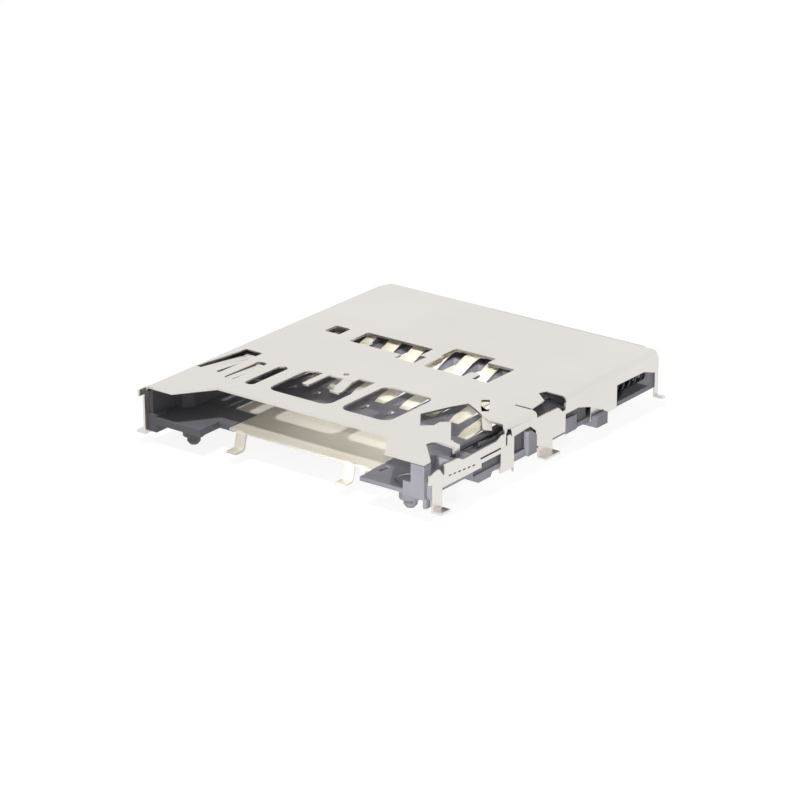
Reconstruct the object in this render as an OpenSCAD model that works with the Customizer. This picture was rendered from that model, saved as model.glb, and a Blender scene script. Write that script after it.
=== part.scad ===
// Push-push memory card socket for a circuit board.
// X runs to the right as the card's user sees it, Y runs the way the card goes in,
// and Z runs up from the board. The origin is on the board, midway between the two
// locating pegs. Lengths along Y are first measured from the socket's front edge,
// and from_front() moves them to the origin.

/* [Card] */
// Width of the card
card_w = 24; // [22:0.5:26]
// Thickness of the card
card_t = 2.1; // [1.8:0.1:2.4]
// Length of the bevel across the card's leading corner
card_bevel = 4; // [3:0.25:4.5]
// Side play of the card in its lane
card_play = 0.4; // [0.2:0.1:0.8]
// Play of the card under the shell
card_head = 0.3; // [0.2:0.05:0.6]
// Depth of the locked card's leading edge behind the front edge
card_in = 28.3; // [27.5:0.25:30]
// Distance from the card's leading edge back to where the contacts touch it
pad_setback = 4.4; // [4:0.1:5]
// Offset of the card's centre line to the left of the pegs' centre
card_offset = 0.2; // [0:0.1:0.4]

/* [Housing] */
// Height of the floor's underside above the board
floor_under = 0.9; // [0.7:0.05:1.2]
// Thickness of the floor
floor_t = 0.6; // [0.5:0.05:0.9]
// Width of the switch wall at the left of the card
switch_w = 1.65; // [1.55:0.05:2.2]
// Width of the slider's lane at the right of the card
lane_w = 2.05; // [1.95:0.05:2.6]
// Drop of the slider's lane below the floor's top
lane_drop = 0.3; // [0.2:0.05:0.5]
// Thickness of the rear wall
rear_t = 1; // [0.8:0.1:1.6]
// Free space behind the slider at full travel
rear_gap = 0.3; // [0.2:0.05:0.8]

/* [Pegs] */
// Distance between the two locating pegs
peg_span = 21.8; // [20.5:0.1:22.4]
// Distance of the pegs behind the front edge
peg_setback = 2; // [1.6:0.1:2.4]
// Diameter of a peg in its board hole
peg_d = 1.1; // [0.8:0.1:1.5]
// Diameter of a peg's shoulder on the board
shoulder_d = 1.8; // [1.6:0.1:2.4]
// Length of a peg below the board's surface
peg_l = 0.75; // [0.6:0.05:1.6]

/* [Shell] */
// Thickness of the shell's sheet
sheet = 0.2; // [0.15:0.05:0.3]
// Length of the curve that rounds the shell's folds
fold = 0.4; // [0.3:0.05:0.5]
// Length of a soldering foot beyond the side wall
foot_l = 0.75; // [0.5:0.05:1.2]
// Depth of the finger recess in the front edge
recess_d = 3; // [2.4:0.1:3.2]
// Left end of the finger recess, from the pegs' centre
recess_left = 9.2; // [8.6:0.1:9.6]
// Right end of the finger recess, from the pegs' centre
recess_right = 8; // [7.4:0.1:8.6]

/* [Contacts] */
// Distance between neighbouring contacts
pitch = 2.5; // [2.4:0.02:2.6]
// Width of a contact's beam
beam_w = 1.2; // [0.8:0.05:1.3]
// Thickness of the contacts' sheet
strip_t = 0.18; // [0.12:0.02:0.24]
// Free height of a contact's tip above the floor
tip_h = 1.5; // [1.2:0.05:1.7]
// Length of a contact's springing beam
beam_l = 10.3; // [9.8:0.1:10.8]
// Length of a contact's soldering foot
tail_l = 1.4; // [1:0.1:1.8]

/* [Switches] */
// Thickness of a switch blade
blade_t = 0.15; // [0.1:0.01:0.2]
// Height of a switch blade
blade_h = 1.2; // [0.9:0.05:1.4]
// Length of a switch's pocket in the left wall
pocket_l = 6; // [5.6:0.1:6.6]

/* [Push-push mechanism] */
// Travel of the slider from the ejected card to the locked card
lock_travel = 4.2; // [3.6:0.1:4.6]
// Travel beyond the lock, needed to release the card
over_travel = 0.8; // [0.6:0.1:1.2]
// Running clearance of the slider
run_gap = 0.1; // [0.05:0.01:0.14]
// Thickness of the slider's arm behind the card
arm_t = 1.2; // [0.9:0.1:1.6]
// Diameter of the cam pin's wire
pin_d = 0.4; // [0.3:0.02:0.46]
// Distance between the cam pin's two bent ends
pin_l = 7.4; // [7:0.1:8]
// Sideways step between the middle and a lane of the heart cam
cam_step = 0.45; // [0.4:0.01:0.5]
// Outside diameter of the eject spring
coil_d = 1.5; // [1.2:0.05:1.6]
// Diameter of the eject spring's wire
wire_d = 0.2; // [0.14:0.02:0.24]
// Number of turns of the eject spring
turns = 11; // [7:1:13]

/* [Hidden] */
$fn = 32;
eps = 0.01;
big = 60;
plastic = "#3b3a40";
metal = "#dbd7d1";
gold = "#b79a5c";
steel = "#b5b6b8";
// Gap round a strip that is pushed into the housing
fit = 0.02;
// Heights above the board
floor_top = floor_under + floor_t;
under_shell = floor_top + card_t + card_head;
shell_top = under_shell + sheet;
lane_top = floor_top - lane_drop;
lane_t = 0.4;
lane_under = lane_top - lane_t;
skirt_under = 0.45;
// Places across the socket
lane_left = -card_offset - card_w / 2 - card_play / 2;
lane_right = -card_offset + card_w / 2 + card_play / 2;
in_left = lane_left - switch_w;
in_right = lane_right + lane_w;
out_left = in_left - sheet;
out_right = in_right + sheet;
// Places along the socket, from the front edge
travel = lock_travel + over_travel;
arm_y = card_in - lock_travel;
rear_y = card_in + over_travel + arm_t + rear_gap;
back_y = rear_y + rear_t;
depth = back_y + sheet;
touch_y = card_in - pad_setback;
root_y = touch_y - beam_l;
riser_y = root_y - 1.2;
// The front of the floor: two aprons beside the finger recess, with the front plate between them
apron_y = 0.1;
apron_left = -8.65;
apron_right = 7.4;
apron_t = 0.35;
floor_front = 3.6;
plate_front = 1.9;
plate_back = 9.6;
plate_left = -7.1;
plate_right = 7.2;
plate_wide_left = -9.4;
plate_wide_y = 5.5;
plate_tails = [-5.8, 5.1];
plate_tail_w = 1;
plate_lip = [6.1, 7.1];
// The contacts, numbered as on the card, in steps from the card's centre line
contact_steps = [2.55, 1.55, 0.55, -0.45, -1.45, -2.45, -3.42, -4.1, 3.55];
// The seventh and eighth stand closer together and are narrower by this much
narrower = 0.3;
slot_side = 0.2;
barb_l = 0.2;
slot_front = 0.8;
slot_back = 0.3;
flat_l = 1.1;
tip_l = 1;
body_z = floor_under + strip_t / 2;
// The two switches in the left wall: the rear one feels the locked card's corner
root_l = 1.2;
switch_gap = 0.4;
detect_y = card_in - 5.9;
protect_y = detect_y - pocket_l - 2 * root_l - switch_gap;
blade_z = floor_top + 0.5;
bump_out = 0.55;
blade_gap = 0.6;
spring_x = lane_left - bump_out;
blade_x = spring_x - blade_gap;
foot_bend = 0.2;
switch_tail_w = 0.6;
switch_reach = out_left - foot_l;
// The slider
slider_x0 = lane_right + run_gap;
slider_x1 = in_right - run_gap;
slider_xc = (slider_x0 + slider_x1) / 2;
slider_z0 = lane_top + run_gap;
slider_z1 = under_shell - 0.8;
slider_y0 = 6;
slider_y1 = arm_y - 2.6;
arm_gap = 0.2;
bevel_y = arm_y - card_bevel + arm_gap - run_gap;
// The arm ends beside the first contact, and the corner contact stops short of its bevel
contact_gap = 0.375;
arm_reach = slider_x0 - contact_x(1) - beam_w / 2 - contact_gap;
corner_setback = touch_y + tip_l - bevel_y - slider_x0 + contact_x(9) + beam_w / 2 + contact_gap;
// The lock spring: its bump meets the notch in the card's edge, behind the card's corner
lock_x = slider_x0 + 0.3;
lock_bump_y = arm_y - 7.3;
lock_bump = 0.75;
lock_root = 3.8;
lock_bend = 2;
lock_end = 2.1;
lock_z = floor_top + 0.15;
lock_h = 0.8;
lock_room = 0.05;
// The cam pin and the heart cam
pin_r = pin_d / 2;
pivot_y = 4.6;
start_y = pivot_y + pin_l;
run_z = slider_z1 + run_gap + pin_r;
pin_foot_z = slider_z1 - 0.45;
pivot_foot_z = slider_z1 - 0.9;
pin_play = 0.05;
groove_w = pin_d + 2 * pin_play;
groove_z = pin_foot_z - 0.12;
groove_step = 0.1;
// The eject spring
coil_z = (slider_z0 + slider_z1) / 2;
boss_d = coil_d - 2 * wire_d - 0.2;
boss_l = 1.2;
// The shell's side walls
leg_y = [0.4, 1.6];
leg2_y = [card_in - 13.8, card_in - 11.9];
leg3_w = 0.5;
leg3_y = [depth - leg3_w, depth];
// The left wall stands out in front of the top, with an ear beside the mouth
left_leg_y = [-0.3, 1.2];
ear_y = -0.9;
ear_z = 3.45;
band_z = 1.75;
wall_z = 1.1;
catch_y = [11.05, 13.95];
block_y = [card_in - 6.3, card_in - 4.75];
block_z = 0.3;
block_top = 1.3;
block_reach = 0.5;
// The shell's windows over the mouth
window_y = 5.3;
window_back = 10.8;
window_back_2 = 11.6;
// The rear edge of the opening over the mechanism, and the top of the band below it
mech_back = 10.3;
band_back = 9.8;
band_top = 3.2;
// The tab that is folded under the housing, and the tongue in front of the opening
tab_y = [9.3, 11];
tab_end = 10.5;
tongue_x = 0.75;
// The left leaf spring's root and its free end
left_root_y = 5.9;
left_leaf_y = 11.1;
leaf_drop = 0.3;

// Direction and length helpers for sheet that is bent along a path
function unit(v) = v / norm(v);
function side(v) = [-v[1], v[0]];
// The direction in which a path arrives at and leaves a point
function before(p, i) = unit(p[max(i, 1)] - p[max(i, 1) - 1]);
function after(p, i) = unit(p[min(i, len(p) - 2) + 1] - p[min(i, len(p) - 2)]);
// A point of the path moved sideways by h, on the line that halves the bend
function mitre(p, i, h) =
    let (a = side(before(p, i)), m = unit(a + side(after(p, i))))
    p[i] + m * h / (m * a);
// The path with each inner corner replaced by a curve that starts d before it
function bend(p, d, n = 4) = concat(
    [p[0]],
    [for (i = [1:len(p) - 2], k = [0:n])
        p[i] + unit(p[i - 1] - p[i]) * d * pow(1 - k / n, 2)
             + unit(p[i + 1] - p[i]) * d * pow(k / n, 2)],
    [p[len(p) - 1]]);

// A strip of thickness t along a path in the plane
module ribbon(p, t) {
    polygon(concat(
        [for (i = [0:len(p) - 1]) mitre(p, i, t / 2)],
        [for (i = [len(p) - 1:-1:0]) mitre(p, i, -t / 2)]));
}

// Moves lengths that were measured from the front edge to the origin
module from_front() {
    translate([0, -peg_setback, 0]) children();
}

// A block given by its two corners
module block(a, b) {
    translate(a) cube(b - a);
}

// A flat shape in X and Y, raised from z0 to z1
module slab(z0, z1) {
    translate([0, 0, z0]) linear_extrude(z1 - z0) children();
}

// A flat shape in Y and Z, thickened from x0 to x1
module across(x0, x1) {
    translate([x0, 0, 0]) rotate([90, 0, 90]) linear_extrude(x1 - x0) children();
}

// A flat shape in X and Z, thickened from y0 to y1
module along(y0, y1) {
    translate([0, y1, 0]) rotate([90, 0, 0]) linear_extrude(y1 - y0) children();
}

// A rectangle with round corners
module round_rect(a, b, r) {
    translate([a[0] + r, a[1]]) square([b[0] - a[0] - 2 * r, b[1] - a[1]]);
    translate([a[0], a[1] + r]) square([b[0] - a[0], b[1] - a[1] - 2 * r]);
    for (x = [a[0] + r, b[0] - r], y = [a[1] + r, b[1] - r])
        translate([x, y]) circle(r);
}

// A straight lane of width w with round ends
module lane(a, b, w) {
    v = b - a;
    for (p = [a, b])
        translate(p) circle(w / 2);
    translate(a) rotate(atan2(v[1], v[0])) translate([0, -w / 2]) square([norm(v), w]);
}

// The middle line of one contact from its soldering foot to its tip, in Y and Z
function contact_path(shift, riser) = bend([
    [riser - tail_l, strip_t / 2],
    [riser, strip_t / 2],
    [riser, body_z],
    [root_y - shift + 0.4, body_z],
    [root_y - shift + 1.4, floor_top - strip_t / 2],
    [touch_y - shift - 2.9, floor_top + 0.4 * tip_h],
    [touch_y - shift - 0.9, floor_top + 0.9 * tip_h],
    [touch_y - shift, floor_top + tip_h],
    [touch_y - shift + tip_l, floor_top + 0.7 * tip_h]], 0.3);

function contact_w(n) = n == 7 || n == 8 ? beam_w - narrower : beam_w;
function contact_x(n) = -card_offset + contact_steps[n - 1] * pitch;
function contact_shift(n) = n == 9 ? corner_setback : 0;
function contact_riser(n) = min(riser_y, root_y - contact_shift(n) - flat_l);

// One stamped contact: foot, riser, body in the floor's underside, rising beam and rounded tip,
// with a small barb that stands up in the floor's slot
module contact(n) {
    x = contact_x(n);
    r = contact_riser(n);
    color(gold) from_front() {
        across(x - contact_w(n) / 2, x + contact_w(n) / 2)
            ribbon(contact_path(contact_shift(n), r), strip_t);
        block([x, r, body_z], [x + slot_side - fit, r + barb_l, floor_top]);
    }
}

module contact_1() { contact(1); }
module contact_2() { contact(2); }
module contact_3() { contact(3); }
module contact_4() { contact(4); }
module contact_5() { contact(5); }
module contact_6() { contact(6); }
module contact_7() { contact(7); }
module contact_8() { contact(8); }
module contact_9() { contact(9); }

// The outline of the front plate, made larger by g on each side
module plate_outline(g) {
    translate([plate_left - g, plate_front - g])
        square([plate_right - plate_left + 2 * g, plate_back - plate_front + 2 * g]);
    translate([plate_wide_left - g, plate_wide_y - g])
        square([plate_right - plate_wide_left, plate_back - plate_wide_y + 2 * g]);
}

// The thin plate in the mouth's floor, with two soldering tails and a short lip at the front
module ground_plate() {
    top = floor_top - strip_t / 2;
    tail = bend([
        [0.55, strip_t / 2],
        [1.6, strip_t / 2],
        [plate_front, top],
        [floor_front, top]], 0.25);
    lip = bend([
        [plate_front, floor_under],
        [plate_front, top],
        [floor_front, top]], 0.2);
    color(gold) from_front() {
        slab(floor_top - strip_t, floor_top) difference() {
            plate_outline(0);
            for (n = [1:6])
                translate([contact_x(n), plate_back]) circle(0.5);
            for (x = plate_tails)
                translate([x - plate_tail_w / 2, 0]) square([plate_tail_w, floor_front - 0.5]);
            translate([plate_lip[0], 0]) square([plate_lip[1] - plate_lip[0], floor_front - 0.5]);
        }
        for (x = plate_tails)
            across(x - plate_tail_w / 2, x + plate_tail_w / 2) ribbon(tail, strip_t);
        across(plate_lip[0], plate_lip[1]) ribbon(lip, strip_t);
    }
}

// The plan of a switch's sprung blade, with a bump that the card pushes aside
function spring_path(y) = bend([
    [spring_x, y - root_l],
    [spring_x, y + 0.08 * pocket_l],
    [spring_x + blade_t, y + 0.43 * pocket_l],
    [lane_left + bump_out, y + 0.62 * pocket_l],
    [spring_x + blade_t, y + 0.85 * pocket_l]], 2 * blade_t);

// The plan of a switch's straight blade
function blade_path(y) = [
    [blade_x, y + 0.23 * pocket_l],
    [blade_x, y + pocket_l + root_l]];

// A blade on edge, with a tail that turns out under the wall to its soldering foot
module switch_strip(path, x, tail_y, t) {
    slab(blade_z, blade_z + blade_h) ribbon(path, t);
    along(tail_y, tail_y + switch_tail_w)
        ribbon(bend([[x, blade_z + blade_h / 2], [x, blade_t / 2], [switch_reach, blade_t / 2]],
            foot_bend), t);
}

module switch_spring(y, t) {
    switch_strip(spring_path(y), spring_x, y - root_l, t);
}

module switch_blade(y, t) {
    switch_strip(blade_path(y), blade_x, y + pocket_l + root_l - switch_tail_w, t);
}

module protect_spring() {
    color(gold) from_front() switch_spring(protect_y, blade_t);
}

module protect_blade() {
    color(gold) from_front() switch_blade(protect_y, blade_t);
}

module detect_spring() {
    color(gold) from_front() switch_spring(detect_y, blade_t);
}

module detect_blade() {
    color(gold) from_front() switch_blade(detect_y, blade_t);
}

// The left wall with its two switch pockets and the slots that hold the blades
module left_wall() {
    difference() {
        block([in_left, floor_front - 0.4, floor_under], [lane_left, back_y, under_shell - 0.2]);
        for (y = [protect_y, detect_y])
            block([in_left + 0.2, y, floor_top], [lane_left + eps, y + pocket_l, under_shell]);
        // room for the shell's leaf spring
        block([out_left, left_root_y, under_shell - leaf_drop - 0.15],
            [lane_left + eps, left_leaf_y + 0.5, big]);
        translate([lane_left, floor_front - 0.4, 0]) rotate(45)
            cube([0.9, 0.9, big], center = true);
    }
}

// The right edge of the housing: pivot block, lane floor and the skirt below the band
module right_edge() {
    across(lane_right, in_right) polygon([
        [1.7, 1.4], [4.8, 1.4], [6.6, skirt_under], [8.2, skirt_under], [8.4, lane_under],
        [back_y, lane_under], [back_y, under_shell - 0.1], [rear_y, under_shell - 0.1],
        [rear_y, lane_top], [slider_y0 - run_gap, lane_top],
        [slider_y0 - run_gap, slider_z1], [1.7, slider_z1]]);
    // the corner block in the mouth, with the lower step beside it and a narrow foot
    block([lane_right + 0.3, apron_y, 1], [in_right - 0.45, 1, under_shell - 0.1]);
    block([lane_right + 0.4, apron_y + 0.4, 1], [in_right, 1, under_shell - 0.25]);
    block([lane_right - 0.45, apron_y, 1], [lane_right + 0.4, 1.8, 2.2]);
    block([in_right - 0.6, apron_y, 0.35], [in_right - 0.25, 0.7, 1.1]);
    // the catch in the shell's wall, the rib behind it and the foot block
    across(in_right - eps, out_right) catch_side(catch_y[0] + 0.05);
    across(in_right - eps, out_right + 0.25) catch_side(catch_y[1] - 1.3);
    block([in_right - eps, leg2_y[1] + 1.9, lane_under],
        [out_right - 0.05, leg2_y[1] + 3.5, lane_under + 1.3]);
    block([lane_right + 0.4, block_y[0], block_z], [in_right, block_y[1], lane_top - 0.1]);
    block([in_right - eps, block_y[0], block_z], [out_right + block_reach, block_y[1], block_top]);
}

// The side of the catch from y to its sloping rear corner
module catch_side(y) {
    polygon([[y, lane_under], [y, band_top - 0.35], [catch_y[1] - 0.8, band_top - 0.35],
        [catch_y[1] - 0.1, band_top - 0.9], [catch_y[1] - 0.1, lane_under]]);
}

// A locating peg with its shoulder and a pointed end
module peg(x) {
    translate([x, peg_setback, 0]) {
        cylinder(h = floor_top - 0.3, d = shoulder_d);
        translate([0, 0, -peg_l + 0.25]) cylinder(h = peg_l, d = peg_d);
        translate([0, 0, -peg_l]) cylinder(h = 0.25 + eps, d1 = peg_d - 0.4, d2 = peg_d);
    }
}

// The cuts in the floor for one contact: beam window, body groove and the small slot over its riser
module contact_cuts(n) {
    w = contact_w(n) / 2 + slot_side;
    g = contact_w(n) / 2 + fit;
    x = contact_x(n);
    s = contact_shift(n);
    r = contact_riser(n);
    block([x - w, root_y - s, 0], [x + w, touch_y - s + tip_l + 0.7, floor_top + eps]);
    block([x - g, r - 0.3, floor_under - eps], [x + g, root_y - s + eps, floor_under + strip_t]);
    block([x - slot_side, r - slot_front, 0], [x + slot_side, r + slot_back, floor_top + eps]);
}

// The corner that the housing gives up to a round fold of the shell, at inner wall x
module fold_relief(x, s) {
    along(-1, depth + 1) polygon([
        [x, under_shell - fold], [x + s * fold, under_shell], [x + s * fold, shell_top],
        [x - s, shell_top], [x - s, under_shell - fold]]);
}

// The moulded base that carries everything else
module housing() {
    color(plastic) from_front() {
        difference() {
            union() {
                block([in_left, floor_front, floor_under], [lane_right + eps, back_y, floor_top]);
                block([in_left + 0.55, apron_y, floor_under], [apron_left, floor_front + eps, floor_top]);
                block([apron_left - eps, floor_front - 1, floor_under],
                    [plate_left - 0.1, floor_front + eps, floor_top]);
                // front end of the left wall, inside the shell's side
                block([in_left, apron_y + 0.2, floor_under],
                    [in_left + 0.35, floor_front, under_shell - 0.2]);
                block([apron_right, apron_y, floor_top - apron_t],
                    [lane_right + 0.3, floor_front + eps, floor_top]);
                block([peg_span / 2 - 1.2, 0.6, floor_under],
                    [peg_span / 2 + 0.6, floor_front + eps, floor_top]);
                block([in_left, rear_y, floor_under], [lane_right + eps, back_y, under_shell - 0.1]);
                block([in_left, apron_y, 0.2], [in_left + 0.85, 1.4, 1.7]);
                left_wall();
                right_edge();
                for (x = [-peg_span / 2, peg_span / 2])
                    peg(x);
                block([out_left - block_reach, block_y[0], block_z],
                    [in_left + 1.2, block_y[1], floor_under + 0.1]);
            }
            // seat of the front plate
            slab(floor_top - strip_t, floor_top + eps) plate_outline(fit);
            // slot and round moulding mark in the right apron
            block([plate_right + 0.55, apron_y + 1.9, 0], [plate_right + 0.9, apron_y + 3, floor_top + eps]);
            translate([peg_span / 2, peg_setback, floor_top - 0.08]) cylinder(h = 1, d = shoulder_d + 0.6);
            for (n = [1:9])
                contact_cuts(n);
            for (y = [protect_y, detect_y]) {
                switch_spring(y, blade_t + 2 * fit);
                switch_blade(y, blade_t + 2 * fit);
            }
            fold_relief(in_left, 1);
            fold_relief(in_right, -1);
            // bore for the cam pin's pivot end
            translate([slider_xc, pivot_y, pivot_foot_z - 0.1]) cylinder(h = big, r = pin_r + pin_play);
        }
        // boss that holds the rear end of the eject spring
        translate([slider_xc, rear_y + eps, coil_z]) rotate([90, 0, 0])
            cylinder(h = boss_l, d = boss_d);
    }
}

// The folded sheet before its cut-outs
module folded_sheet() {
    half = sheet / 2;
    along(0, depth) ribbon(bend([
        [out_left + half, 0],
        [out_left + half, shell_top - half],
        [out_right - half, shell_top - half],
        [out_right - half, 0]], fold), sheet);
}

// The cut-outs in the top, as seen from above
module top_cuts() {
    // finger recess in the front edge
    polygon([[-recess_left - 2.2, -1], [-recess_left - 2.2, 0], [-recess_left, recess_d],
        [recess_right, recess_d], [recess_right + 1.9, 0], [recess_right + 1.9, -1]]);
    tip_windows();
    left_slots();
    mouth_windows();
    mechanism_opening();
    rear_steps();
}

// A small square window and the two windows over the contacts' tips
module tip_windows() {
    y = touch_y - 5.1;
    front = y - 1.8;
    x = contact_x(1) - contact_gap;
    round_rect([contact_x(7) - 1.9, y], [contact_x(7) - 0.35, y + 1.6], 0.2);
    round_rect([contact_x(6) - 1.15, y - 0.75], [contact_x(4) + 0.65, y + 1.85], 0.15);
    round_rect([contact_x(5) + 1.75, front + 0.1], [contact_x(4) + 1.3, y], 0.15);
    difference() {
        round_rect([contact_x(3) - 0.2, front], [x + 1.65, y + 1.95], 0.15);
        round_rect([x - 0.85, front - 1], [x + 0.1, y - 0.6], 0.15);
    }
    round_rect([contact_x(3) - 0.45, y + 1], [contact_x(2) + 1.1, y + 3.1], 0.15);
}

// The outline of the tapered leaf spring at the left, made larger by g at its free end and sides
module left_leaf_outline(g, y0) {
    x = out_left;
    polygon([[x + 0.85 - g, y0], [x + 1.5 - g, left_leaf_y + g], [x + 2.5 + g, left_leaf_y + g],
        [x + 2.5 + g, y0]]);
}

// At the left: the slot round the leaf spring, a narrow slot with its own leaf, and a third slot
module left_slots() {
    x = out_left;
    left_leaf_outline(0.4, left_root_y);
    round_rect([x + 3.85, window_y - 0.1], [x + 4.8, window_y + 4.5], 0.3);
    round_rect([x + 5.9, window_y - 0.1], [x + 6.85, window_back - 0.7], 0.45);
}

// The two large windows over the mouth, the first with a flat tongue and room for a bent leaf
module mouth_windows() {
    x = contact_x(3) - 0.975;
    difference() {
        union() {
            round_rect([x - 6.2, window_y], [x, window_back], 0.9);
            translate([x - 1.55, window_y + 2]) square([1.55, window_back_2 - window_y - 2]);
        }
        translate([x - 4.7, window_back - 2.8]) square([0.65, 4]);
    }
    translate([x - 3, window_back + 0.85]) circle(0.25);
    round_rect([x + 1.1, window_y], [contact_x(1), window_back_2], 0.9);
}

// The opening over the mechanism runs round the front corner and over the fold
module mechanism_opening() {
    x = out_right;
    c = contact_x(1) + 1;
    polygon([
        [x - 0.35, -1], [x - 0.4, 0.65], [x - 2.9, 3.4], [x - 2.8, 4], [x - 2.35, 4.3],
        [x - tongue_x, 4.15], [x - tongue_x, 4.85], [x - 1.8, 5.1], [x - 4.1, 8.3], [x - 4.8, 7.75],
        [x - 4.75, 6.9], [c + 1.5, 6.2], [c, 8.3], [c + 1, 11], [c + 1.7, 12.4], [x - 4.2, 11.7],
        [x - 2.75, 10.75], [x - 2.05, mech_back + 0.1], [x - 1.6, mech_back + 0.1],
        [x - 0.5, mech_back - 0.1], [x - 0.2, band_back], [x + 1, band_back], [x + 1, -1]]);
    // long hole behind the leaf that holds the cam pin
    polygon([[x - 5, 13.6], [x - 4.45, 14], [x - 2.8, 11.55], [x - 3.3, 11.6], [x - 4.25, 12.5]]);
    translate([x - 2.25, leg2_y[0] - 0.3]) square([3, 0.25]);
    polygon([[x - 2.25, leg2_y[1] + 1.2], [x - 2.05, leg2_y[1] + 1.9], [x + 1, leg2_y[1] + 1.9],
        [x + 1, leg2_y[0] - 0.2], [x - 0.75, leg2_y[0] - 0.2], [x - 0.95, leg2_y[1] + 0.1]]);
}

// Small steps in the rear edge
module rear_steps() {
    translate([-2.5, depth - sheet]) square([big, 1]);
    polygon([[out_left - 1, depth - 1.6], [out_left + 0.4, depth - 1], [out_left + 1.2, depth + 1],
        [out_left - 1, depth + 1]]);
}

// The cut-outs in the right wall, in Y and Z: first the open lower edge, then the windows
module right_cuts() {
    finger_y = tab_y[0] - 2.6;
    rear_window = leg2_y[1] + 9.2;
    translate([-1, -1]) square([leg_y[0] + 1, 3 + fold]);
    translate([leg_y[1], -1]) square([finger_y - leg_y[1] + eps, band_z + 1]);
    // a narrow finger is left between the slot and the open edge
    translate([finger_y, -1]) square([tab_y[0] - finger_y, band_z + 1.35]);
    translate([finger_y - 0.15, band_z + 0.7]) square([tab_y[0] - finger_y + 0.15, 0.15]);
    translate([tab_y[0], -1]) square([tab_y[1] - tab_y[0], 1 + lane_under - 2 * sheet]);
    // a row of short slits
    for (i = [0:5])
        translate([2.4 + 0.62 * i, 2.42 - 0.04 * i]) square([0.36, 0.12]);
    // a small lanced tab behind the band
    difference() {
        polygon([[band_back + 0.15, 2.5], [band_back + 0.15, 3.5], [band_back + 0.4, 3.8],
            [tab_y[1] - 0.35, 3.7], [tab_y[1] - 0.2, 3.1], [tab_y[1] - 0.4, 3.1], [tab_y[1] - 0.4, 2.5]]);
        translate([band_back + 0.35, 2]) square([tab_y[1] - band_back - 0.75, 1.3]);
    }
    // the window over the catch
    polygon([[catch_y[0], -1], [catch_y[0], band_top - 0.25], [catch_y[1] - 0.7, band_top - 0.1],
        [catch_y[1] + 0.1, band_top - 0.7], [catch_y[1] + 0.1, -1]]);
    translate([catch_y[1], -1]) square([leg2_y[0] - catch_y[1], wall_z + 1]);
    translate([leg2_y[1], -1]) square([1.8 + eps, wall_z + 1]);
    polygon([[leg2_y[1] + 1.8, -1], [leg2_y[1] + 1.8, 2.6], [leg2_y[1] + 3.6, 2.6],
        [leg2_y[1] + 5.4, 2.1], [leg2_y[1] + 5.4, -1]]);
    translate([block_y[0] - 0.1, -1]) square([block_y[1] - block_y[0] + 0.2, block_top + 1.05]);
    translate([leg2_y[1] + 5.4 - eps, -1])
        square([rear_window - leg2_y[1] - 5.4 + 2 * eps, 1 + lane_under + 0.05]);
    polygon([[rear_window, -1], [rear_window, 2.8], [rear_window + 4, 2.75],
        [leg3_y[0], 2.2], [leg3_y[0], -1]]);
    // the upper edge of the leg and of the band, open to the top
    polygon([[-1, band_top], [leg_y[0], band_top], [leg_y[0] + 0.85, band_top + 0.15],
        [leg_y[1] + 0.1, 2.75], [leg_y[1] + 0.26, 2.75], [leg_y[1] + 0.26, 3.9], [3.1, 3.8],
        [4.3, band_top], [band_back - 0.9, band_top], [band_back - 0.2, band_top + 0.35],
        [band_back, band_top + 0.7], [band_back, big], [-1, big]]);
    // the opening behind the second leg, which crosses the fold
    polygon([[leg2_y[0] - 0.2, 3.6], [leg2_y[1] + 0.6, 3.6], [leg2_y[1] + 1.4, 2.95],
        [leg2_y[1] + 1.8, 2.95], [leg2_y[1] + 1.8, big], [leg2_y[0] - 0.2, big]]);
}

// The cut-outs in the left wall, in Y and Z
module left_cuts() {
    translate([left_leg_y[1], -1]) square([leg2_y[0] - left_leg_y[1], wall_z + 1]);
    translate([leg2_y[1], -1]) square([leg3_y[0] - leg2_y[1], wall_z + 1]);
    round_rect([4, 1.9], [9, 2.9], 0.3);
    round_rect([depth - 6.2, 1.9], [depth - 1.6, 2.9], 0.3);
}

// A leaf that is cut out of the top and bent down towards its tip, from y0 to y1
module leaf(x, w, y0, y1, drop) {
    half = sheet / 2;
    s = sign(y1 - y0);
    across(x - w / 2, x + w / 2) ribbon(bend([
        [y0, shell_top - half],
        [y0 + s * 0.5, shell_top - half],
        [y1 - s * 0.5, shell_top - half - drop],
        [y1, shell_top - half - drop + 0.05]], 0.2), sheet);
}

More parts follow.
